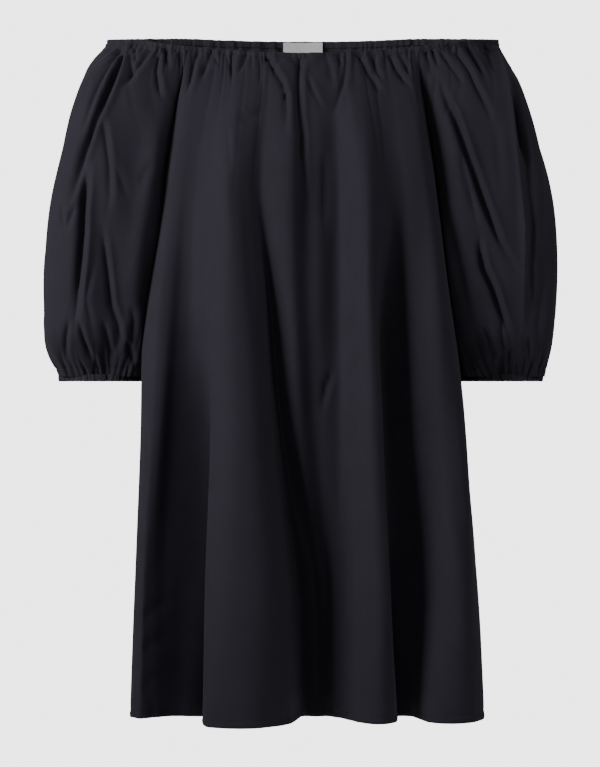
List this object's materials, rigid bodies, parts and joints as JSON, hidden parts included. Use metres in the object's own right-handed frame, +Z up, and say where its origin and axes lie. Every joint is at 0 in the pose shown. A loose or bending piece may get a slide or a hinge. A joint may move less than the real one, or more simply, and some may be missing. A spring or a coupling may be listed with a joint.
{
  "type": "off-shoulder dress",
  "caption": "Off-shoulder A-line dress in near-black cotton, with an elastic neckline, full raglan sleeves and elastic cuffs, hollow and filled out as if worn",
  "frame": {"origin": "the centre of the neckline ring, level with its upper edge over the arms, where the wearer holds the dress up", "axes": "+Z up, the front faces -Y, +X towards the wearer's left sleeve"},
  "size_m": [0.6337, 0.3248, 0.8589],
  "materials": {
    "cloth": "near-black cotton poplin with a soft sheen",
    "casing": "the same poplin, gathered over elastic",
    "label": "blank off-white woven tape"
  },
  "bodies": {
    "root": {"front": "cloth", "back": "cloth", "sleeve_left": "cloth", "sleeve_right": "cloth", "neck_casing": "casing", "cuff_casing_left": "casing", "cuff_casing_right": "casing", "neck_label": "label"}
  },
  "joints": []
}
